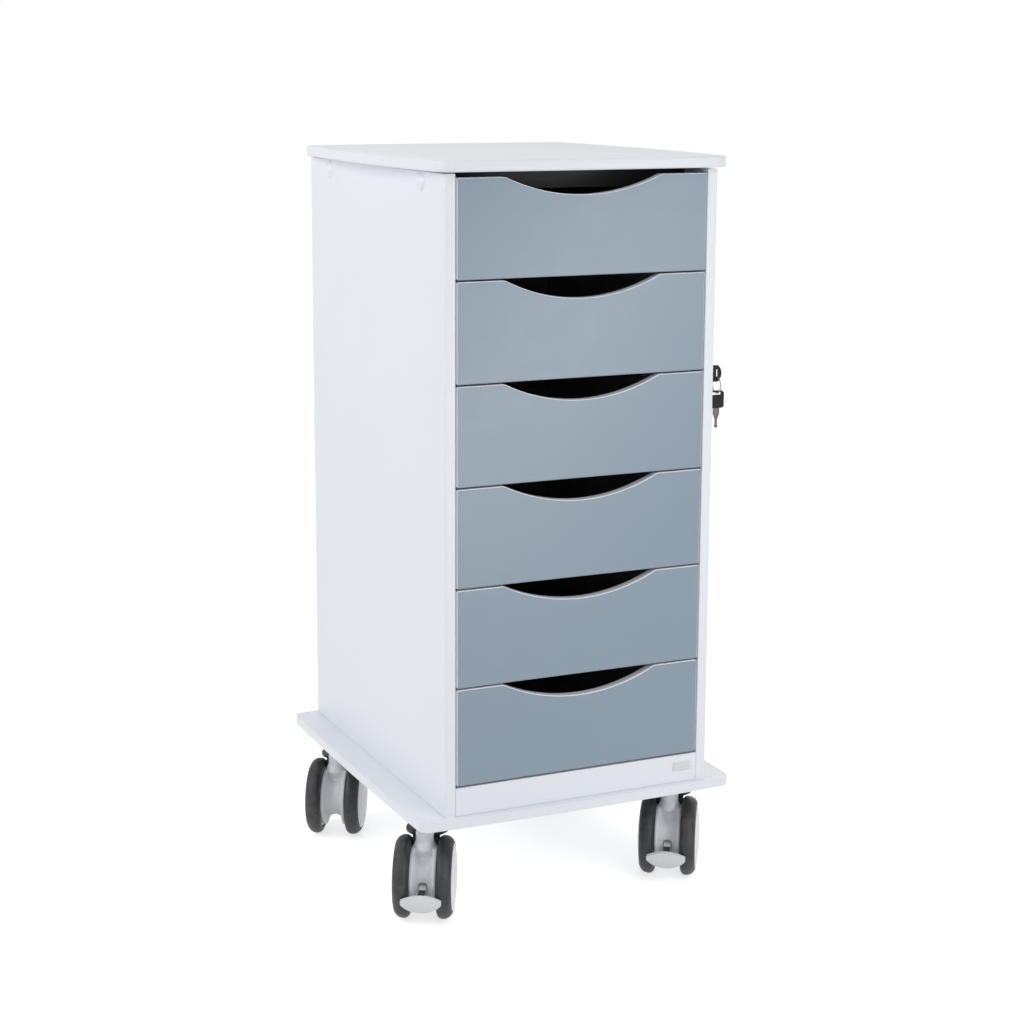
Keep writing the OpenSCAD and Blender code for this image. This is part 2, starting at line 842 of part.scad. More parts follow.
// A wheel along +Z: its inner face at 0, its domed face away from the housing
module wheel_solid() {
    hub_in = 1;
    hub_top = wheel_w + hub_bulge;
    dome_r = bow_r(hub_r, hub_bulge + hub_rim_step);
    bore_l = 12;
    color("dimgray") rotate_extrude() intersection() {
        translate([hub_r, 0]) square([wheel_r - hub_r, wheel_w]);
        union() {
            square([wheel_r - tyre_outer_round, wheel_w]);
            square([wheel_r - tyre_inner_round, wheel_w - tyre_outer_round]);
            translate([0, tyre_inner_round])
                square([wheel_r, wheel_w - tyre_outer_round - tyre_inner_round]);
            translate([wheel_r - tyre_inner_round, tyre_inner_round]) circle(r = tyre_inner_round);
            translate([wheel_r - tyre_outer_round, wheel_w - tyre_outer_round]) circle(r = tyre_outer_round);
        }
    }
    color("lightgray") difference() {
        rotate_extrude() intersection() {
            translate([0, hub_in]) square([hub_r - seat, hub_top]);
            translate([0, hub_top - dome_r]) circle(r = dome_r, $fn = bow_fn);
        }
        translate([0, 0, -over]) cylinder(r = axle_r + fit, h = bore_l + over);
    }
}

module wheel(i, side) {
    at_caster(i) at_axle() rotate([0, side * 90, 0])
        translate([0, 0, housing_w / 2 + wheel_play]) wheel_solid();
}

// Lens outline of the pedal's face, its width along X
module pedal_outline() {
    upper_r = bow_r(pedal_w / 2, pedal_h * 0.3);
    lower_r = bow_r(pedal_w / 2, pedal_h * 0.7);
    round_cut = 4;
    intersection() {
        translate([0, pedal_h * 0.35 - upper_r]) circle(r = upper_r);
        translate([0, lower_r - pedal_h * 0.65]) circle(r = lower_r);
        square([pedal_w - round_cut, 2 * pedal_h], center = true);
    }
}

module brake_pedal(i) {
    ring_w = pedal_slot_w - 1.2;
    color("lightgray") at_caster(i) at_axle() rotate([pedal_tilt, 0, 0]) {
        difference() {
            union() {
                rotate([0, 90, 0]) cylinder(r = pedal_ring_r, h = ring_w, center = true);
                translate([-pedal_arm_w / 2, -pedal_in_r - 1, -pedal_arm_t / 2])
                    cube([pedal_arm_w, pedal_in_r + 1, pedal_arm_t]);
            }
            rotate([0, 90, 0]) cylinder(r = axle_r + fit, h = 2 * ring_w, center = true);
        }
        intersection() {
            rotate([0, 90, 0]) difference() {
                cylinder(r = pedal_in_r + pedal_t, h = 2 * pedal_w, center = true);
                cylinder(r = pedal_in_r, h = 3 * pedal_w, center = true);
            }
            translate([0, -wheel_r / 2, 0]) rotate([90, 0, 0]) linear_extrude(wheel_r) pedal_outline();
        }
    }
}

// ---------- nodes ----------

top_panel();
left_side_panel();
right_side_panel();
back_panel();
base_panel();
front_rail();
cross_rails();
screw_caps();
panel_screws();
name_plate();
slide_outer_members();
lock_housing();
lock_nut();
lock_plug();
lock_cam();
lock_bar();
key();
key_ring();
spare_key();
caster_plates();
caster_screws();
swivel_pins();
for (n = drawers) {
    drawer_front(n);
    drawer_tray(n);
    slide_middle(n);
    slide_inner(n);
}
for (i = [0:3]) {
    housing(i);
    wheel(i, -1);
    wheel(i, 1);
}
brake_pedal(0);  // brake_pedal_left
brake_pedal(1);  // brake_pedal_right
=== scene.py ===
"""Instrument cart: laminated cabinet, six drawers on slides, side lock with keys, four twin-wheel casters."""

import json
import math

import bmesh
import bpy
from bpy.props import FloatProperty, FloatVectorProperty, IntProperty, PointerProperty
from mathutils import Matrix, Vector


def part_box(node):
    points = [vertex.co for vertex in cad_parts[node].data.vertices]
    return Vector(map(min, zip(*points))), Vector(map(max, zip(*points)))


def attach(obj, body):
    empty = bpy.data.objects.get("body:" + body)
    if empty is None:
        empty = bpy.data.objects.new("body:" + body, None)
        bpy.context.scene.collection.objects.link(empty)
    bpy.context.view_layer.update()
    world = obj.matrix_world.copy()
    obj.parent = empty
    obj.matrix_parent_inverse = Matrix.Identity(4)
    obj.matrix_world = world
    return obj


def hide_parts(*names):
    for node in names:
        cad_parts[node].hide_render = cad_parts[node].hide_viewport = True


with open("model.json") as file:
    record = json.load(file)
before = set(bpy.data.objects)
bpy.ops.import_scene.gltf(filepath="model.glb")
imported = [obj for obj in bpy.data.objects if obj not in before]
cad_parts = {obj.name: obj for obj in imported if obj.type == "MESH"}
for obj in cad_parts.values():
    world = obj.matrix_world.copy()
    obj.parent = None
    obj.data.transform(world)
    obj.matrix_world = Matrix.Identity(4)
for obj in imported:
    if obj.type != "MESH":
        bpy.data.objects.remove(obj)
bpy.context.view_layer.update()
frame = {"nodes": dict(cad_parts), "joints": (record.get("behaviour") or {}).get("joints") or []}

bl_info = {
    "name": "Instrument Cart",
    "version": (1, 0, 0),
    "blender": (4, 5, 0),
    "location": "View3D > Sidebar > Instrument Cart",
    "description": "Builds the visible pieces of an instrument cart on its packed frame",
    "category": "Object",
}

JOINTS = {joint["name"]: joint for joint in frame["joints"]}
CORNERS = ("front_left", "front_right", "rear_left", "rear_right")
DRAWERS = range(1, 7)
SENSOR_WIDTH = 36.0
CAMERA_SHIFT = -0.078125
CAMERA_REACH = 60.0
CAMERA_PLACE = (-1.09330, -2.39551, 1.02359)
CAMERA_TURN = (1.3943754, -0.0045652, -0.4317395)
FLOOR_HALF = 14.0
FLOOR_DROP = 0.0002
# Each lamp's setting, size, place, the point it is aimed at, and its roll in degrees
LAMPS = (
    ("left", (1.4, 1.4), (-2.0, 0.0, 1.6), (0.0, 0.0, 0.7), 0.0),
    ("front", (1.4, 1.4), (0.5, -2.2, 2.1), (0.0, 0.0, 0.6), 0.0),
    ("top", (2.0, 2.0), (-0.2, -0.2, 3.0), (0.0, 0.0, 0.5), 0.0),
    ("back", (1.6, 0.8), (1.5, 2.1, 0.46), (0.0, 0.0, 0.46), 0.0),
    ("strip", (0.14, 0.85), (0.56, -1.53, 0.49), (-0.04, -0.23, 0.61), -36.0),
)


# ---------- sizes and colours ----------


def length(name, description, default, low, high):
    return FloatProperty(
        name=name,
        description=description,
        default=default,
        min=low,
        max=high,
        precision=5,
        subtype="DISTANCE",
        unit="LENGTH",
    )


def colour(name, description, default):
    return FloatVectorProperty(
        name=name, description=description, default=default, min=0.0, max=1.0, size=3, subtype="COLOR"
    )


def power(name, description, default):
    return FloatProperty(name=name, description=description, default=default, min=0.0, unit="POWER")


class CART_cabinet_settings(bpy.types.PropertyGroup):
    board: colour("Board", "Colour of the white laminate", (0.825, 0.85, 0.9))
    rail: colour("Hidden rails", "Colour of the stained rails under the top", (0.014, 0.014, 0.016))
    steel: colour("Zinc steel", "Colour of screws, slides and lock parts", (0.56, 0.57, 0.6))
    top_round: length("Top and base edge", "Radius on the edges of the top and base panels", 0.003, 0.0005, 0.006)
    side_round: length("Side edge", "Radius on the edges of the side panels", 0.0012, 0.0002, 0.003)
    rail_round: length("Rail edge", "Radius on the edges of the front rail", 0.0008, 0.0002, 0.003)
    plate_round: length("Plate edge", "Radius on the edges of the blank plate", 0.0002, 0.00005, 0.0004)


class CART_drawer_settings(bpy.types.PropertyGroup):
    front: colour("Fronts", "Colour of the blue-grey laminate", (0.25, 0.323, 0.394))
    # The pale band is partly the fronts' edge band and partly a painted highlight on the edges that face up and
    # sideways.
    band: colour("Edge band", "Colour of the pale band on the top and side edges of each front", (0.93, 0.94, 0.98))
    # The trays are lighter than their dark moulding: painted light that brightens the shaded drawer interiors.
    tray: colour("Trays", "Colour of the moulded trays", (0.33, 0.33, 0.34))
    scoop_width: length("Scoop width", "Width of the finger scoop where it leaves the top edge", 0.204, 0.12, 0.26)
    scoop_depth: length("Scoop depth", "Depth of the finger scoop at its middle", 0.0245, 0.01, 0.03)
    scoop_end: length("Scoop end", "Radius that eases the ends of the scoop into the top edge", 0.012, 0.002, 0.03)
    corner: length("Corner", "Radius of the corners of a front", 0.002, 0.0005, 0.01)
    front_round: length("Front edge", "Radius of the softened edge round each front", 0.0014, 0.0003, 0.004)
    top_gap: length("Top gap", "Extra gap between the top panel and the first front", 0.0025, 0.0, 0.004)
    back_round: length("Back edge", "Radius of the edge at the back of each front", 0.0006, 0.0001, 0.002)
    tray_round: length("Tray edge", "Radius on the edges of the trays", 0.0008, 0.0002, 0.002)


class CART_lock_settings(bpy.types.PropertyGroup):
    nickel: colour("Nickel", "Colour of the plated lock and the wire ring", (0.66, 0.64, 0.61))
    blade: colour("Blades", "Colour of the key blades", (0.13, 0.108, 0.115))
    grip: colour("Key heads", "Colour of the moulded key heads", (0.007, 0.007, 0.008))
    metal_round: length("Lock edge", "Radius on the edges of the lock", 0.0004, 0.0001, 0.001)
    grip_round: length("Head edge", "Radius on the edges of the key heads", 0.0006, 0.0001, 0.001)
    blade_round: length("Blade edge", "Radius on the edges of the blades", 0.00015, 0.00005, 0.0005)


class CART_caster_settings(bpy.types.PropertyGroup):
    plastic: colour("Housing", "Colour of the light grey moulded housings and hubs", (0.74, 0.755, 0.785))
    pedal: colour("Pedal", "Colour of the brake pedals", (0.76, 0.77, 0.785))
    tyre: colour("Tyre", "Colour of the tyres", (0.0155, 0.0165, 0.0195))
    # Real black of the swivel heads; on the sleeves, saddles and pedal arms this black is painted shade, for the gaps
    # round the horns and the slot above each pedal.
    plate: colour("Swivel head", "Colour of the black swivel heads, sleeves and pedal arms", (0.018, 0.017, 0.017))
    # The sleeve and saddle sizes below shape black pieces of painted shade in the gaps round each horn.
    sleeve_radius: length("Sleeve radius", "Radius of the black sleeve round each swivel pin", 0.01565, 0.012, 0.016)
    sleeve_height: length("Sleeve height", "Height of the black sleeve below the swivel head", 0.019, 0.005, 0.022)
    saddle_start: length("Saddle start", "Distance from the swivel pin to the saddle", 0.0168, 0.0165, 0.018)
    saddle_rise: length("Saddle rise", "Height of the saddle over the top of the sleeve", 0.0095, 0.0, 0.0098)
    saddle_end: length("Saddle end", "Distance from the swivel pin to the saddle's end", 0.028, 0.02, 0.03)
    # The black part of the arm is painted shade for the shaded slot above the pad.
    painted_shade_arm_length: length("Pedal arm", "Length of the black part of a pedal's arm next to its pad", 0.0112, 0.002, 0.02)
    tyre_width: length("Wheel width", "Width of a tyre along its axle", 0.0195, 0.016, 0.026)
    hub_radius: length("Hub radius", "Radius of the hub inside the tyre", 0.041, 0.03, 0.045)
    hub_bulge: length("Hub bulge", "Height of the hub's dome over the tyre's side", 0.003, 0.0, 0.006)
    rim_step: length("Rim step", "Depth of the hub's rim below the tyre's side", 0.0004, 0.0, 0.004)
    outer_round: length("Outer shoulder", "Radius of the tyre's outer shoulder", 0.0118, 0.004, 0.012)
    inner_round: length("Inner shoulder", "Radius of the tyre's inner shoulder", 0.007, 0.003, 0.009)
    grain: length("Housing grain", "Cell size at which the housings are blended", 0.0011, 0.0008, 0.003)
    pedal_round: length("Pedal edge", "Radius on the edges of the pedals", 0.0012, 0.0002, 0.002)
    plate_round: length("Head edge", "Radius on the edges of the swivel heads", 0.0006, 0.0001, 0.0015)
    segments: IntProperty(name="Wheel steps", description="Steps round a wheel", default=128, min=48, max=256)


class CART_stage_settings(bpy.types.PropertyGroup):
    floor: colour("Floor", "Colour of the floor", (0.86, 0.86, 0.865))
    floor_lift: FloatProperty(
        name="Floor lift", description="Light added to the floor where it is seen", default=0.63, min=0.0, max=1.0
    )
    fill: FloatProperty(
        name="Fill", description="Strength of the even light from all round", default=0.45, min=0.0, max=2.0
    )
    left: power("Left lamp", "Strength of the lamp on the left", 20.2)
    front: power("Front lamp", "Strength of the lamp in front", 12.0)
    top: power("Top lamp", "Strength of the lamp overhead", 3.9)
    back: power("Back lamp", "Strength of the lamp behind on the right", 11.0)
    strip: power("Strip lamp", "Strength of the narrow lamp that gives the fronts their sheen", 4.7)
    lens: FloatProperty(
        name="Lens", description="Focal length of the camera", default=72.765, min=20.0, subtype="DISTANCE_CAMERA"
    )


# ---------- finishes ----------


class Finish:
    """A procedural finish built up from shader nodes in the object's own coordinates."""

    def __init__(self, name):
        self.material = bpy.data.materials.new(name)
        self.material.use_nodes = True
        self.tree = self.material.node_tree
        self.tree.nodes.clear()
        self.shader = self.add("ShaderNodeBsdfPrincipled")
        output = self.add("ShaderNodeOutputMaterial")
        self.link(self.shader.outputs[0], output.inputs["Surface"])
        self.place = self.add("ShaderNodeTexCoord").outputs["Object"]

    def add(self, kind, **values):
        node = self.tree.nodes.new(kind)
        for key, value in values.items():
            setattr(node, key, value)
        return node

    def link(self, source, target):
        self.tree.links.new(source, target)

    def noise(self, scale, detail=3.0, roughness=0.55, stretch=None):
        node = self.add("ShaderNodeTexNoise")
        node.inputs["Scale"].default_value = scale
        node.inputs["Detail"].default_value = detail
        node.inputs["Roughness"].default_value = roughness
        place = self.place
        if stretch:
            mapping = self.add("ShaderNodeMapping")
            mapping.inputs["Scale"].default_value = stretch
            self.link(place, mapping.inputs["Vector"])
            place = mapping.outputs[0]
        self.link(place, node.inputs["Vector"])
        return node.outputs["Fac"]

    def cells(self, scale):
        node = self.add("ShaderNodeTexVoronoi", feature="F1")
        node.inputs["Scale"].default_value = scale
        self.link(self.place, node.inputs["Vector"])
        return node

    def span(self, source, low, high, out_low=0.0, out_high=1.0):
        node = self.add("ShaderNodeMapRange")
        for key, value in zip(("From Min", "From Max", "To Min", "To Max"), (low, high, out_low, out_high)):
            node.inputs[key].default_value = value
        self.link(source, node.inputs["Value"])
        return node.outputs[0]

    def times(self, first, second):
        node = self.add("ShaderNodeMath", operation="MULTIPLY", use_clamp=True)
        for socket, value in zip(node.inputs, (first, second)):
            if isinstance(value, float):
                socket.default_value = value
            else:
                self.link(value, socket)
        return node.outputs[0]

    def worn(self):
        return self.add("ShaderNodeAttribute", attribute_name="worn").outputs["Fac"]

    def blend(self, factor, first, second):
        node = self.add("ShaderNodeMix", data_type="RGBA")
        self.link(factor, node.inputs["Factor"])
        for socket, value in ((node.inputs[6], first), (node.inputs[7], second)):
            if isinstance(value, tuple):
                socket.default_value = (*value[:3], 1.0)
            else:
                self.link(value, socket)
        return node.outputs[2]

    def relief(self, height, depth, strength=1.0, under=None):
        node = self.add("ShaderNodeBump")
        node.inputs["Strength"].default_value = strength
        node.inputs["Distance"].default_value = depth
        self.link(height, node.inputs["Height"])
        if under:
            self.link(under, node.inputs["Normal"])
        return node.outputs[0]

    def finish(self, base, roughness, normal=None, **constants):
        self.link(base, self.shader.inputs["Base Color"])
        self.link(roughness, self.shader.inputs["Roughness"])
        if normal:
            self.link(normal, self.shader.inputs["Normal"])
        for key, value in constants.items():
            self.shader.inputs[key.replace("_", " ")].default_value = value
        return self.material


def shade(base, factor, tint=(1.0, 1.0, 1.0)):
    return tuple(min(1.0, channel * factor * extra) for channel, extra in zip(base, tint))


def laminate(name, base, grain, mottle, rough, scuff):
    """Satin melamine on board: fine pebble, faint cloudiness, and edges rubbed by use."""
    f = Finish(name)
    cloud = f.span(f.noise(5.0, 4.0), 0.3, 0.7)
    tone = f.blend(cloud, shade(base, 1.0 - mottle), shade(base, 1.0 + mottle * 0.6))
    fleck = f.span(f.noise(900.0, 2.0), 0.35, 0.7)
    tone = f.blend(f.times(fleck, 0.1), tone, shade(base, 0.9))
    rub = f.times(f.worn(), f.span(f.noise(60.0, 4.0, 0.6), 0.35, 0.75))
    tone = f.blend(f.times(rub, scuff), tone, shade(base, 0.88, (1.01, 1.0, 0.98)))
    sheen = f.span(f.noise(30.0, 4.0, 0.6), 0.25, 0.75, rough - 0.025, rough + 0.025)
    pebble = f.relief(f.noise(grain, 2.0, 0.5), 0.00005, 0.3)
    ripple = f.relief(f.noise(18.0, 2.0, 0.4), 0.0002, 0.06, pebble)
    return f.finish(tone, sheen, ripple)


def moulded(name, base, rough, grain, mottle, dust, gloss=0.5):
    """Moulded plastic with a spark-eroded grain, flow marks and dust in random patches."""
    f = Finish(name)
    flow = f.span(f.noise(14.0, 3.0, 0.5, (1.0, 1.0, 0.35)), 0.3, 0.7)
    tone = f.blend(flow, shade(base, 1.0 - mottle), shade(base, 1.0 + mottle))
    film = f.times(f.span(f.noise(46.0, 5.0, 0.7), 0.42, 0.78), dust)
    tone = f.blend(film, tone, (0.42, 0.4, 0.37))
    tone = f.blend(f.times(f.worn(), 0.22), tone, shade(base, 1.25))
    sheen = f.span(f.noise(60.0, 4.0, 0.6), 0.3, 0.7, rough - 0.06, rough + 0.08)
    bite = f.relief(f.noise(grain, 3.0, 0.6), 0.00008, 0.45)
    return f.finish(tone, sheen, bite, Specular_IOR_Level=gloss)


def plated(name, base, rough, scratch, stain):
    """Plated metal with fine rubbing marks, a cloudy film and small dark spots."""
    f = Finish(name)
    cloud = f.span(f.noise(90.0, 4.0, 0.6), 0.3, 0.7)
    tone = f.blend(cloud, shade(base, 0.93), shade(base, 1.06))
    spots = f.times(f.span(f.noise(300.0, 3.0), 0.64, 0.74), stain)
    tone = f.blend(spots, tone, shade(base, 0.45, (1.1, 1.0, 0.86)))
    marks = f.noise(900.0, 4.0, 0.65, (1.0, 0.06, 0.9))
    sheen = f.span(marks, 0.3, 0.7, rough - 0.07, rough + 0.1)
    return f.finish(tone, sheen, f.relief(marks, 0.00002, scratch), Metallic=1.0)


def rolled_zinc(name, base, rough):
    """Zinc-plated sheet with soft spangle and streaks along the length of the member."""
    f = Finish(name)
    spangle = f.cells(180.0)
    facets = f.span(spangle.outputs["Distance"], 0.1, 0.7)
    tone = f.blend(facets, shade(base, 0.9), shade(base, 1.08, (0.98, 1.0, 1.03)))
    streak = f.noise(240.0, 4.0, 0.6, (1.0, 0.04, 1.0))
    tone = f.blend(f.times(f.span(streak, 0.5, 0.75), 0.35), tone, shade(base, 0.7))
    sheen = f.span(streak, 0.3, 0.7, rough - 0.06, rough + 0.1)
    return f.finish(tone, sheen, f.relief(streak, 0.00003, 0.3), Metallic=1.0)


def stained_board(name, base):
    """Dark stained wood with fibres that run across the cart."""
    f = Finish(name)
    fibre = f.noise(260.0, 5.0, 0.6, (0.05, 1.0, 1.0))
    tone = f.blend(f.span(fibre, 0.35, 0.7), shade(base, 0.75), shade(base, 1.5, (1.06, 1.0, 0.92)))
    sheen = f.span(fibre, 0.3, 0.7, 0.5, 0.68)
    return f.finish(tone, sheen, f.relief(fibre, 0.00015, 0.4))


def tyre_rubber(name, base):
    """Dark elastomer: a matte skin, a paler worn band on the tread, dust and fine scuffs."""
    f = Finish(name)
    skin = f.span(f.noise(120.0, 4.0, 0.6), 0.3, 0.7)
    tone = f.blend(skin, shade(base, 0.86), shade(base, 1.16))
    band = f.times(f.worn(), f.span(f.noise(150.0, 4.0, 0.7), 0.3, 0.65))
    tone = f.blend(f.times(band, 0.45), tone, shade(base, 1.9, (1.03, 1.0, 0.97)))
    dust = f.times(f.span(f.noise(38.0, 5.0, 0.7), 0.5, 0.8), 0.16)
    tone = f.blend(dust, tone, (0.3, 0.28, 0.25))
    sheen = f.span(f.noise(80.0, 4.0), 0.3, 0.7, 0.44, 0.6)
    return f.finish(tone, sheen, f.relief(f.noise(1400.0, 3.0, 0.6), 0.00008, 0.45))


def satin_plate(name, base):
    """Blank aluminium plate with a brushed, anodised face."""
    f = Finish(name)
    brush = f.noise(1500.0, 3.0, 0.6, (0.03, 1.0, 1.0))
    tone = f.blend(f.span(brush, 0.3, 0.7), shade(base, 0.93), shade(base, 1.05))
    return f.finish(tone, f.span(brush, 0.3, 0.7, 0.34, 0.5), f.relief(brush, 0.00002, 0.35), Metallic=0.85)


FINISHES = {}


def make_finishes(scene):
    """Makes every finish once, from the colours in the settings."""
    if FINISHES:
        return
    cabinet, drawers = colours_of(scene.cart_cabinet), colours_of(scene.cart_drawers)
    lock, casters = colours_of(scene.cart_lock), colours_of(scene.cart_casters)
    FINISHES.update(
        white_board=laminate("white_laminate", cabinet["board"], 1500.0, 0.01, 0.38, 0.2),
        blue_grey_front=laminate("blue_grey_laminate", drawers["front"], 1300.0, 0.012, 0.33, 0.2),
        # Pale edge band, partly a painted highlight on the fronts' top, scoop and side edges.
        edge_band=laminate("edge_band", drawers["band"], 1300.0, 0.01, 0.34, 0.2),
        # Tray colour lightened as painted light for the shaded drawer interiors.
        dark_tray=moulded("tray_plastic", drawers["tray"], 0.5, 1500.0, 0.12, 0.1),
        dark_rail=stained_board("stained_rail", cabinet["rail"]),
        slide_steel=rolled_zinc("slide_zinc", cabinet["steel"], 0.36),
        screw_steel=plated("screw_zinc", cabinet["steel"], 0.36, 0.3, 0.4),
        nickel=plated("lock_nickel", lock["nickel"], 0.2, 0.25, 0.25),
        ring_steel=plated("ring_steel", shade(lock["nickel"], 0.62), 0.3, 0.3, 0.3),
        blade_steel=plated("blade_steel", lock["blade"], 0.34, 0.3, 0.3),
        key_plastic=moulded("key_grip", lock["grip"], 0.42, 2600.0, 0.15, 0.01, 0.2),
        cap_plastic=moulded("cap_plastic", cabinet["board"], 0.3, 1800.0, 0.01, 0.02),
        plate_metal=satin_plate("blank_plate", (0.5, 0.5, 0.515)),
        caster_plastic=moulded("caster_nylon", casters["plastic"], 0.3, 1700.0, 0.02, 0.05),
        pedal_plastic=moulded("pedal_nylon", casters["pedal"], 0.42, 1700.0, 0.02, 0.06),
        # Black of the swivel heads, and painted shade on the sleeves, saddles and pedal arms.
        caster_plate=moulded("swivel_black", casters["plate"], 0.4, 1300.0, 0.15, 0.1),
        tyre=tyre_rubber("tyre_rubber", casters["tyre"]),
    )


def colours_of(group):
    """The colours of a settings group as plain tuples."""
    keys = [item.identifier for item in group.bl_rna.properties if item.type == "FLOAT" and item.is_array]
    return {key: tuple(getattr(group, key)) for key in keys}


# ---------- making pieces ----------

# The least angle between two faces, in radians, at which an edge is rounded
SHARP = 0.6
# The distance under which vertices are joined, and the angle in degrees under which facets are
WELD = 0.000004
FLAT = 0.3
# Edges under this length beside faces under this area belong to a screw hole
HOLE_EDGE = 0.002
HOLE_FACE = 3e-5
# Edges of the boards over this length are rounded
BOARD_EDGE = 0.02
# A key's solid that comes within this distance of the key's end is its head
HEAD_REACH = 0.0005
# The reach of a pedal's pad from its outer edge
PAD_REACH = 0.013
# How near to a panel's outline its rounded edges lie
OUTLINE_REACH = 0.03
# Vertices within this distance of a face's plane lie on it
ON_FACE = 1e-6
# A face of a drawer front takes the pale band where its normal leans further off than this and doesn't look down; the
# band is partly edge band, partly a painted highlight on the edges that face up and sideways
BAND_AND_HIGHLIGHT_LEAN = 0.92
BAND_AND_HIGHLIGHT_DOWN = -0.3


def cleaned(node, keep=None):
    """The CAD node's mesh with its facets joined; keep chooses among its loose solids by their boxes."""
    bm = bmesh.new()
    bm.from_mesh(frame["nodes"][node].data)
    bmesh.ops.remove_doubles(bm, verts=bm.verts, dist=WELD)
    if keep:
        for island in islands(bm):
            low = Vector([min(v.co[i] for v in island) for i in range(3)])
            high = Vector([max(v.co[i] for v in island) for i in range(3)])
            if not keep(low, high):
                bmesh.ops.delete(bm, geom=island, context="VERTS")
    bmesh.ops.dissolve_limit(bm, angle_limit=math.radians(FLAT), verts=bm.verts, edges=bm.edges)
    return bm


def islands(bm):
    """The sets of joined vertices in the mesh."""
    left = set(bm.verts)
    found = []
    while left:
        start = left.pop()
        group, front = {start}, [start]
        while front:
            for edge in front.pop().link_edges:
                for vert in edge.verts:
                    if vert in left:
                        left.discard(vert)
                        group.add(vert)
                        front.append(vert)
        found.append(list(group))
    return found


def ease(bm, radius, steps=3, choose=None):
    """Rounds the sharp edges, and marks the rounded strip as the part that wears."""
    worn = bm.verts.layers.float.get("worn") or bm.verts.layers.float.new("worn")
    sharp = [e for e in bm.edges if e.is_manifold and e.calc_face_angle(0.0) > SHARP]
    edges = [e for e in sharp if choose is None or choose(e)]
    if not edges:
        return bm
    made = bmesh.ops.bevel(
        bm, geom=edges, offset=radius, segments=steps, profile=0.5, affect="EDGES", clamp_overlap=True
    )
    strip = set(made["faces"])
    for vert in made["verts"]:
        if all(face in strip for face in vert.link_faces):
            vert[worn] = 1.0
    return bm


def settle(name, bm, body, nodes, slot, finish=None, crease=35.0):
    """Turns the mesh into a finished piece that rides on its body and stands for its CAD nodes."""
    mesh = bpy.data.meshes.new(name)
    bmesh.ops.recalc_face_normals(bm, faces=bm.faces)
    for face in bm.faces:
        face.smooth = True
    for edge in bm.edges:
        edge.smooth = edge.calc_face_angle(0.0) < math.radians(crease)
    bm.to_mesh(mesh)
    bm.free()
    piece = bpy.data.objects.new(name, mesh)
    bpy.context.scene.collection.objects.link(piece)
    mesh.materials.append(FINISHES[finish or slot])
    weighted = piece.modifiers.new("even_shading", "WEIGHTED_NORMAL")
    weighted.keep_sharp = True
    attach(piece, body)
    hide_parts(*nodes)
    return piece


def softened(name, node, body, slot, radius, steps=3, choose=None, keep=None, finish=None):
    """A piece with the CAD node's shape and rounded edges."""
    return settle(name, ease(cleaned(node, keep), radius, steps, choose), body, [node], slot, finish)


def dressed(node, slot):
    """A CAD node that keeps its shape and takes its finish."""
    piece = frame["nodes"][node]
    if not piece.material_slots:
        raise RuntimeError(f"{node} has no material slot")
    for place in piece.material_slots:
        place.material = FINISHES[slot]
    return piece


def arc(centre, radius, start, end, steps):
    """Points on an arc, with angles in degrees."""
    angles = [math.radians(start + (end - start) * i / steps) for i in range(steps + 1)]
    return [(centre[0] + radius * math.cos(angle), centre[1] + radius * math.sin(angle)) for angle in angles]


def lathe(profile, steps, matrix, closed=True):
    """A turned mesh: profile holds (radius, height, wear) and turns about the matrix's Z."""
    bm = bmesh.new()
    worn = bm.verts.layers.float.new("worn")
    rings = []
    for radius, height, wear in profile:
        ring = []
        for i in range(steps if radius > 1e-6 else 1):
            angle = 2 * math.pi * i / steps
            vert = bm.verts.new(matrix @ Vector((radius * math.cos(angle), radius * math.sin(angle), height)))
            vert[worn] = wear
            ring.append(vert)
        rings.append(ring)
    pairs = list(zip(rings, rings[1:] + rings[:1])) if closed else list(zip(rings, rings[1:]))
    for first, second in pairs:
        for i in range(steps):
            here, there = i, i + 1
            around = [first[here % len(first)], first[there % len(first)]]
            around += [second[there % len(second)], second[here % len(second)]]
            corners = list(dict.fromkeys(around))
            if len(corners) > 2:
                bm.faces.new(corners)
    return bm


def near_outline(node):
    """Chooses the edges that lie near the outline of a panel, and not its screw holes."""
    low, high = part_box(node)

    def choose(edge):
        gaps = [min(v.co.x - low.x, high.x - v.co.x, v.co.y - low.y, high.y - v.co.y) for v in edge.verts]
        return max(gaps) < OUTLINE_REACH and not round_hole(edge)

    return choose


def round_hole(edge):
    """True on the rim or wall of a screw hole, whose faces turn inwards within a few millimetres."""
    small = any(face.calc_area() < HOLE_FACE and edge.calc_length() < HOLE_EDGE for face in edge.link_faces)
    return small and not edge.is_convex


def board_edge(edge):
    """True on the long edges of a board."""
    return edge.calc_length() > BOARD_EDGE


# ---------- operators ----------


class CART_OT_cabinet(bpy.types.Operator):
    """Builds the boards, rails, caps and blank plate of the cabinet"""

    bl_idname = "cart.cabinet"
    bl_label = "Cabinet"

    def execute(self, context):
        make_finishes(context.scene)
        sizes = context.scene.cart_cabinet
        for node in ("top_panel", "base_panel"):
            softened(f"{node}_board", node, "cabinet", "white_board", sizes.top_round, 4, near_outline(node))
        for side in ("left", "right"):
            panel = f"{side}_side_panel"
            softened(f"{side}_side_board", panel, "cabinet", "white_board", sizes.side_round, 3, board_edge)
        softened("front_rail_board", "front_rail", "cabinet", "white_board", sizes.rail_round, 3, board_edge)
        softened("screw_cap_domes", "screw_caps", "cabinet", "cap_plastic", 0.0003, 2)
        softened("blank_plate", "name_plate", "cabinet", "plate_metal", sizes.plate_round, 2)
        dressed("back_panel", "white_board")
        dressed("cross_rails", "dark_rail")
        dressed("panel_screws", "screw_steel")
        return {"FINISHED"}


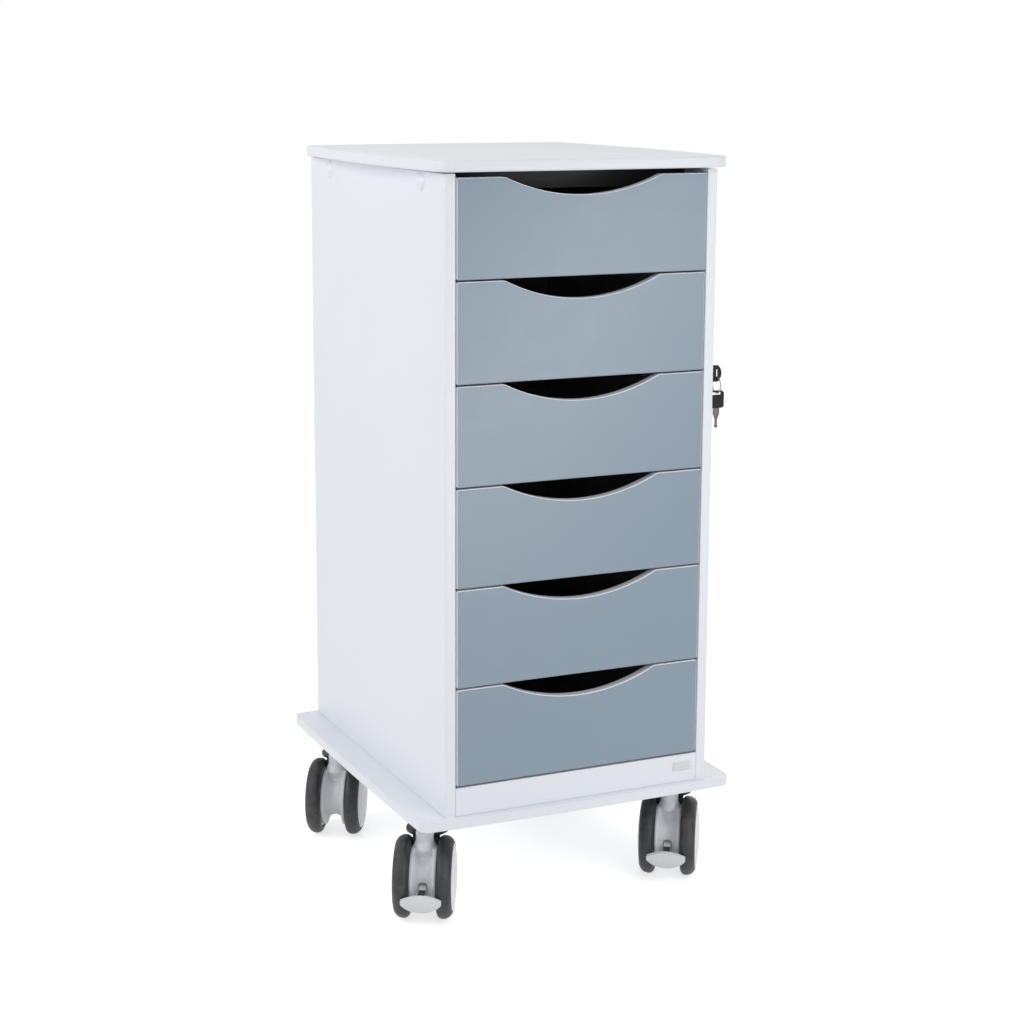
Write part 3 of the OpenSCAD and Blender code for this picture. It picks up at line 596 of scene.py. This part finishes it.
class CART_OT_drawers(bpy.types.Operator):
    """Builds the six drawer fronts with their finger scoops, and the trays behind them"""

    bl_idname = "cart.drawers"
    bl_label = "Drawers"

    def execute(self, context):
        make_finishes(context.scene)
        sizes = context.scene.cart_drawers
        for number in DRAWERS:
            body = f"drawer_{number}"
            self.front(sizes, number, body)
            softened(f"tray_{number}", f"drawer_tray_{number}", body, "dark_tray", sizes.tray_round, 3)
        return {"FINISHED"}

    def outline(self, sizes, low, high, drop):
        """The front's outline in X and Z: small corners, and a scoop eased into the top edge."""
        high = high - Vector((0.0, 0.0, drop))
        corner, ease_r = sizes.corner, sizes.scoop_end
        half, depth = sizes.scoop_width / 2, sizes.scoop_depth - drop
        radius = (half * half + depth * depth) / (2 * depth)
        centre = (0.0, high.z - depth + radius)
        reach = math.sqrt((radius + ease_r) ** 2 - (radius - depth + ease_r) ** 2)
        lean = math.degrees(math.atan2(centre[1] - high.z + ease_r, -reach))
        return (
            arc((low.x + corner, low.z + corner), corner, 180, 270, 6)
            + arc((high.x - corner, low.z + corner), corner, 270, 360, 6)
            + arc((high.x - corner, high.z - corner), corner, 0, 90, 6)
            + arc((reach, high.z - ease_r), ease_r, 90, lean, 8)
            + arc(centre, radius, lean - 180, -lean, 72)[1:-1]
            + arc((-reach, high.z - ease_r), ease_r, 180 - lean, 90, 8)
            + arc((low.x + corner, high.z - corner), corner, 90, 180, 6)
        )

    def front(self, sizes, number, body):
        """A drawer front with softened edges, and a pale band on its top and side edges that is partly edge band,
        partly a painted highlight.
        """
        node = f"drawer_front_{number}"
        low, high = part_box(node)
        drop = sizes.top_gap if number == 1 else 0.0
        bm = bmesh.new()
        face = bm.faces.new([bm.verts.new((x, high.y, z)) for x, z in self.outline(sizes, low, high, drop)])
        made = bmesh.ops.extrude_face_region(bm, geom=[face])
        for item in made["geom"]:
            if isinstance(item, bmesh.types.BMVert):
                item.co.y = low.y
        bmesh.ops.recalc_face_normals(bm, faces=bm.faces)
        ease(bm, sizes.front_round, 4, lambda edge: all(v.co.y < low.y + ON_FACE for v in edge.verts))
        ease(bm, sizes.back_round, 2, lambda edge: all(v.co.y > high.y - ON_FACE for v in edge.verts))
        bm.normal_update()
        # Faces that don't look down take the pale band: edge band and painted highlight.
        for face in bm.faces:
            band_and_highlight = abs(face.normal.y) < BAND_AND_HIGHLIGHT_LEAN and face.normal.z > BAND_AND_HIGHLIGHT_DOWN
            face.material_index = 1 if band_and_highlight else 0
        piece = settle(f"front_{number}", bm, body, [node], "blue_grey_front")
        piece.data.materials.append(FINISHES["edge_band"])


class CART_OT_slides(bpy.types.Operator):
    """Finishes the telescopic slides in zinc-plated sheet"""

    bl_idname = "cart.slides"
    bl_label = "Slides"

    def execute(self, context):
        make_finishes(context.scene)
        dressed("slide_outer_members", "slide_steel")
        for number in DRAWERS:
            dressed(f"slide_middle_{number}", "slide_steel")
            dressed(f"slide_inner_{number}", "slide_steel")
        return {"FINISHED"}


class CART_OT_lock(bpy.types.Operator):
    """Builds the cam lock and finishes its cam and locking bar"""

    bl_idname = "cart.lock"
    bl_label = "Lock"

    def execute(self, context):
        make_finishes(context.scene)
        sizes = context.scene.cart_lock
        softened("lock_barrel", "lock_housing", "cabinet", "nickel", sizes.metal_round, 3)
        softened("lock_core", "lock_plug", "lock_cylinder", "nickel", sizes.blade_round, 2)
        softened("lock_ring_nut", "lock_nut", "cabinet", "screw_steel", sizes.blade_round, 2)
        dressed("lock_cam", "screw_steel")
        dressed("lock_bar", "screw_steel")
        return {"FINISHED"}


class CART_OT_keys(bpy.types.Operator):
    """Builds the key in the lock, its wire ring and the spare key that hangs from it"""

    bl_idname = "cart.keys"
    bl_label = "Keys"

    def execute(self, context):
        make_finishes(context.scene)
        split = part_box("key")[1].x - HEAD_REACH
        self.part("key_head", "key", "lock_cylinder", lambda low, high: high.x > split)
        self.part("key_blade", "key", "lock_cylinder", lambda low, high: high.x <= split)
        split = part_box("spare_key")[1].z - HEAD_REACH
        self.part("spare_head", "spare_key", "spare_key", lambda low, high: high.z > split)
        self.part("spare_blade", "spare_key", "spare_key", lambda low, high: high.z <= split)
        self.ring()
        return {"FINISHED"}

    def part(self, name, node, body, keep):
        """One solid of a key: its moulded head, or its blade."""
        sizes = bpy.context.scene.cart_lock
        if name.endswith("head"):
            softened(name, node, body, "key_plastic", sizes.grip_round, 3, keep=keep)
        else:
            softened(name, node, body, "nickel", sizes.blade_round, 2, keep=keep, finish="blade_steel")

    def ring(self):
        """The wire ring through the two heads."""
        low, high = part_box("key_ring")
        middle = (low + high) / 2
        wire = (high.x - low.x) / 2
        radius = (high.z - low.z) / 2 - wire
        turn = Matrix.Translation(middle) @ Matrix.Rotation(math.pi / 2, 4, "Y")
        profile = [(x, z, 0.0) for x, z in arc((radius, 0.0), wire, 0, 360, 20)[:-1]]
        settle("key_ring_wire", lathe(profile, 96, turn), "key_ring", ["key_ring"], "nickel", finish="ring_steel")


class CART_OT_casters(bpy.types.Operator):
    """Builds the caster housings, axles, swivel heads, tyres, hubs and brake pedals"""

    bl_idname = "cart.casters"
    bl_label = "Casters"

    def execute(self, context):
        make_finishes(context.scene)
        sizes = context.scene.cart_casters
        softened("swivel_heads", "caster_plates", "cabinet", "caster_plate", sizes.plate_round, 2)
        dressed("caster_screws", "screw_steel")
        dressed("swivel_pins", "screw_steel")
        for corner in CORNERS:
            self.housing(sizes, corner)
            for side in ("left", "right"):
                self.wheel(sizes, corner, side)
        for side in ("left", "right"):
            self.pedal(sizes, side)
        return {"FINISHED"}

    def pedal(self, sizes, side):
        """A brake pedal with its pale pad, and a black band of arm next to the pad that is painted shade for the
        shaded slot above it.
        """
        node = f"brake_pedal_{side}"
        bm = ease(cleaned(node), sizes.pedal_round, 3)
        joint = JOINTS[f"brake_{side}_press"]
        axle, along = Vector(joint["pos_m"]), Vector(joint["axis"]).normalized()
        farthest = max(bm.verts, key=lambda v: (v.co - axle).cross(along).length).co - axle
        ahead = along.cross(farthest).cross(along).normalized()
        pad = (farthest - along * farthest.dot(along)).length - PAD_REACH
        plane = axle + ahead * (pad - sizes.painted_shade_arm_length)
        bmesh.ops.bisect_plane(bm, geom=bm.verts[:] + bm.edges[:] + bm.faces[:], plane_co=plane, plane_no=ahead)
        # Painted shade: faces within the arm length next to the pad take the black finish, standing in for the shade
        # of the slot above the pedal.
        for face in bm.faces:
            reach = (face.calc_center_median() - axle).cross(along).length
            face.material_index = 1 if pad - sizes.painted_shade_arm_length < reach < pad else 0
        piece = settle(f"pedal_{side}", bm, f"brake_{side}", [node], "caster_plastic", finish="pedal_plastic")
        piece.data.materials.append(FINISHES["caster_plate"])

    def housing(self, sizes, corner):
        """The moulded housing with its forms run into each other, and its steel axle."""
        node = f"housing_{corner}"
        body = f"caster_{corner}"
        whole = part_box(node)
        tall = (whole[1].z - whole[0].z) / 2
        bm = cleaned(node, lambda low, high: high.z - low.z > tall)
        rough = bpy.data.meshes.new(f"{node}_rough")
        bm.to_mesh(rough)
        bm.free()
        block = bpy.data.objects.new(f"{node}_rough", rough)
        bpy.context.scene.collection.objects.link(block)
        cells = block.modifiers.new("cells", "REMESH")
        cells.mode = "VOXEL"
        cells.voxel_size = sizes.grain
        flow = block.modifiers.new("flow", "SMOOTH")
        flow.factor = 0.5
        flow.iterations = 5
        bpy.context.view_layer.update()
        shaped = block.evaluated_get(bpy.context.evaluated_depsgraph_get())
        bm = bmesh.new()
        bm.from_mesh(shaped.data)
        bpy.data.objects.remove(block)
        settle(f"{node}_body", bm, body, [node], "caster_plastic", crease=70.0)
        softened(f"{node}_axle", node, body, "screw_steel", 0.0003, 2, keep=lambda low, high: high.z - low.z <= tall)
        self.neck(sizes, corner, node, body)

    def neck(self, sizes, corner, node, body):
        """Painted shade: a black sleeve that covers the housing's neck, and a black saddle between it and the horn,
        put where the gaps round the horn lie in shade.
        """
        pin = Vector(JOINTS[f"swivel_{corner}"]["pos_m"])
        axle = Vector(JOINTS[f"roll_left_{corner}"]["pos_m"])
        pin.z = axle.z = 0.0
        outer, wall, bore, chamfer = sizes.sleeve_radius, 0.0008, 0.0068, 0.0004
        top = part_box("caster_plates")[0].z - 0.0008
        low = top - sizes.sleeve_height
        profile = [(outer, low), (outer, top - chamfer), (outer - chamfer, top), (bore, top), (bore, top - wall)]
        profile += [(outer - wall, top - wall), (outer - wall, low)]
        bm = lathe([(r, z, 0.0) for r, z in profile], 72, Matrix.Translation(pin))
        # The sleeve takes the black finish as painted shade.
        settle(f"{node}_sleeve", bm, body, [node], "caster_plastic", finish="caster_plate")

        ahead = (axle - pin).normalized()
        across = Vector((ahead.y, -ahead.x, 0.0))
        half, foot, rounded = outer - 0.0002, 0.008, 0.0012
        bm = bmesh.new()
        bmesh.ops.create_cube(bm, size=1.0)
        for vert in bm.verts:
            reach = sizes.saddle_end if vert.co.y > 0 else sizes.saddle_start
            height = top + sizes.saddle_rise if vert.co.z > 0 else low + foot
            vert.co = pin + across * math.copysign(half, vert.co.x) + ahead * reach + Vector((0.0, 0.0, height))
        ease(bm, rounded, 3)
        # The saddle takes the black finish as painted shade.
        settle(f"{node}_saddle", bm, body, [node], "caster_plastic", finish="caster_plate")

    def wheel(self, sizes, corner, side):
        """A tyre and a domed hub, turned about the axle, on their own body."""
        node = f"wheel_{side}_{corner}"
        joint = JOINTS[f"roll_{side}_{corner}"]
        axle = Vector(joint["pos_m"])
        out = Vector(joint["axis"]).normalized() * (1 if side == "right" else -1)
        up = Vector((0, 0, 1))
        turn = Matrix((up.cross(out), up, out)).transposed().to_4x4()
        place = Matrix.Translation(axle + out * self.near_face(node, axle, out)) @ turn
        tyre = lathe(self.tyre_profile(sizes, axle.z), sizes.segments, place)
        settle(f"tyre_{side}_{corner}", tyre, node, [node], "tyre", crease=50.0)
        hub = lathe(self.hub_profile(sizes), sizes.segments, place)
        settle(f"hub_{side}_{corner}", hub, node, [node], "caster_plastic", crease=40.0)

    def near_face(self, node, axle, out):
        """How far out along the axle the wheel starts."""
        return min((v.co - axle).dot(out) for v in frame["nodes"][node].data.vertices)

    def tyre_profile(self, sizes, radius):
        """The tyre's section: two round shoulders, a flattened tread and a lip against the hub."""
        outer, inner, width = sizes.outer_round, sizes.inner_round, sizes.tyre_width
        lip = sizes.hub_radius + 0.0002
        start = math.degrees(math.acos((lip - (radius - outer)) / outer))
        shoulder = arc((radius - outer, width - outer), outer, start, 0, 18)
        flank = arc((radius - inner, inner), inner, 0, -90, 12)
        section = [(r, z, max(0.0, 1.0 - 3.0 * (radius - r) / radius * 10)) for r, z in shoulder + flank]
        return section + [(lip, 0.0, 0.0), (lip, width * 0.5, 0.0)]

    def hub_profile(self, sizes):
        """The hub's section: a bore, a flat inner face, a rolled rim and a shallow dome with two fine grooves."""
        hub, bulge = sizes.hub_radius - 0.0001, sizes.hub_bulge
        rise = bulge + sizes.rim_step
        dome = (hub * hub + rise * rise) / (2 * rise)
        crown = sizes.tyre_width + bulge
        bore, depth, worn_rim, worn_height = 0.0042, 0.0125, 0.0015, 0.01

        def over(r, sink=0.0):
            return r, crown - dome + math.sqrt(dome * dome - r * r) - sink

        points = [(bore, depth), (bore, 0.001), (hub - 0.001, 0.001), (hub, 0.002), over(hub, 0.0008)]
        rim = ((0.0003, 0.0002), (0.0012, 0.0), (0.0026, 0.0), (0.0031, 0.0005), (0.0036, 0.0005), (0.0041, 0.0))
        points += [over(hub - inset, sink) for inset, sink in rim]
        points += [over(r / 1000) for r in (35, 32, 29, 26, 23, 20, 17, 14, 12)]
        groove = ((0.0112, 0.0), (0.0108, 0.0003), (0.0104, 0.0003), (0.01, 0.0), (0.006, 0.0), (0.0, 0.0))
        points += [over(r, sink) for r, sink in groove]
        points += [(0.0, depth)]
        return [(r, z, 1.0 if r > hub - worn_rim and z > worn_height else 0.0) for r, z in points]


class CART_OT_stage(bpy.types.Operator):
    """Sets the floor, the even studio light and the camera"""

    bl_idname = "cart.stage"
    bl_label = "Stage"

    def execute(self, context):
        scene = context.scene
        sizes = scene.cart_stage
        self.floor(scene, sizes)
        self.world(scene, sizes)
        for name, size, place, aim, roll in LAMPS:
            self.lamp(scene, f"{name}_lamp", getattr(sizes, name), size, place, aim, roll)
        self.camera(scene, sizes)
        scene.view_settings.view_transform = "Standard"
        return {"FINISHED"}

    def seen(self, tree):
        """1 for rays that show the background: from the camera, in gloss and through glass."""
        path = tree.nodes.new("ShaderNodeLightPath")
        total = path.outputs["Is Camera Ray"]
        for name in ("Is Glossy Ray", "Is Transmission Ray"):
            add = tree.nodes.new("ShaderNodeMath")
            add.operation = "ADD"
            add.use_clamp = True
            tree.links.new(total, add.inputs[0])
            tree.links.new(path.outputs[name], add.inputs[1])
            total = add.outputs[0]
        return total

    def floor(self, scene, sizes):
        """A pale floor that takes the shadow, is lifted where it is seen, and is clear from below."""
        mesh = bpy.data.meshes.new("floor")
        span = FLOOR_HALF
        mesh.from_pydata([(-span, -span, 0), (span, -span, 0), (span, span, 0), (-span, span, 0)], [], [(0, 1, 2, 3)])
        floor = bpy.data.objects.new("floor", mesh)
        floor.location.z = -FLOOR_DROP
        scene.collection.objects.link(floor)
        material = bpy.data.materials.new("pale_floor")
        material.use_nodes = True
        tree = material.node_tree
        tree.nodes.clear()
        matte = tree.nodes.new("ShaderNodeBsdfDiffuse")
        matte.inputs["Color"].default_value = (*sizes.floor, 1.0)
        glow = tree.nodes.new("ShaderNodeEmission")
        lift = tree.nodes.new("ShaderNodeMath")
        lift.operation = "MULTIPLY"
        lift.inputs[1].default_value = sizes.floor_lift
        tree.links.new(self.seen(tree), lift.inputs[0])
        tree.links.new(lift.outputs[0], glow.inputs["Strength"])
        both = tree.nodes.new("ShaderNodeAddShader")
        tree.links.new(matte.outputs[0], both.inputs[0])
        tree.links.new(glow.outputs[0], both.inputs[1])
        clear = tree.nodes.new("ShaderNodeBsdfTransparent")
        side = tree.nodes.new("ShaderNodeMixShader")
        tree.links.new(tree.nodes.new("ShaderNodeNewGeometry").outputs["Backfacing"], side.inputs["Fac"])
        tree.links.new(both.outputs[0], side.inputs[1])
        tree.links.new(clear.outputs[0], side.inputs[2])
        output = tree.nodes.new("ShaderNodeOutputMaterial")
        tree.links.new(side.outputs[0], output.inputs["Surface"])
        mesh.materials.append(material)

    def world(self, scene, sizes):
        """An even white room that lights the cart softly and is seen at full strength."""
        world = bpy.data.worlds.new("studio")
        world.use_nodes = True
        tree = world.node_tree
        background = next(node for node in tree.nodes if node.type == "BACKGROUND")
        background.inputs["Color"].default_value = (1.0, 1.0, 1.0, 1.0)
        strength = tree.nodes.new("ShaderNodeMapRange")
        strength.inputs["To Min"].default_value = sizes.fill
        strength.inputs["To Max"].default_value = 1.0
        tree.links.new(self.seen(tree), strength.inputs["Value"])
        tree.links.new(strength.outputs[0], background.inputs["Strength"])
        scene.world = world

    def lamp(self, scene, name, strength, size, place, aim, roll):
        """A soft rectangular lamp, aimed at a point and rolled about its own axis."""
        light = bpy.data.lights.new(name, "AREA")
        light.energy = strength
        light.shape = "RECTANGLE"
        light.size, light.size_y = size
        lamp = bpy.data.objects.new(name, light)
        lamp.location = place
        aimed = (Vector(aim) - Vector(place)).to_track_quat("-Z", "Y").to_matrix()
        lamp.rotation_euler = (aimed @ Matrix.Rotation(math.radians(roll), 3, "Z")).to_euler()
        lamp.visible_camera = False
        scene.collection.objects.link(lamp)

    def camera(self, scene, sizes):
        """The camera in front of the cart's left corner, at the height of its top."""
        data = bpy.data.cameras.new("camera")
        data.sensor_width = SENSOR_WIDTH
        data.lens = sizes.lens
        data.shift_y = CAMERA_SHIFT
        data.clip_end = CAMERA_REACH
        camera = bpy.data.objects.new("camera", data)
        camera.location = CAMERA_PLACE
        camera.rotation_euler = CAMERA_TURN
        scene.collection.objects.link(camera)
        scene.camera = camera


STEPS = ("stage", "cabinet", "drawers", "slides", "lock", "keys", "casters")


class CART_PT_panel(bpy.types.Panel):
    """Lists the settings and the steps that build the cart"""

    bl_idname = "CART_PT_panel"
    bl_label = "Instrument Cart"
    bl_space_type = "VIEW_3D"
    bl_region_type = "UI"
    bl_category = "Instrument Cart"

    def draw(self, context):
        layout = self.layout
        for step in STEPS:
            layout.operator(f"cart.{step}")
        for name in SETTINGS:
            box = layout.box()
            group = getattr(context.scene, name)
            for key in group.bl_rna.properties.keys():
                if key not in ("rna_type", "name"):
                    box.prop(group, key)


SETTINGS = {
    "cart_cabinet": CART_cabinet_settings,
    "cart_drawers": CART_drawer_settings,
    "cart_lock": CART_lock_settings,
    "cart_casters": CART_caster_settings,
    "cart_stage": CART_stage_settings,
}
CLASSES = (
    *SETTINGS.values(),
    CART_OT_stage,
    CART_OT_cabinet,
    CART_OT_drawers,
    CART_OT_slides,
    CART_OT_lock,
    CART_OT_keys,
    CART_OT_casters,
    CART_PT_panel,
)


def register():
    for item in CLASSES:
        bpy.utils.register_class(item)
    for name, group in SETTINGS.items():
        setattr(bpy.types.Scene, name, PointerProperty(type=group))


def unregister():
    for name in SETTINGS:
        delattr(bpy.types.Scene, name)
    for item in reversed(CLASSES):
        bpy.utils.unregister_class(item)


def main():
    register()
    for step in STEPS:
        getattr(bpy.ops.cart, step)()


if __name__ == "__main__":
    main()
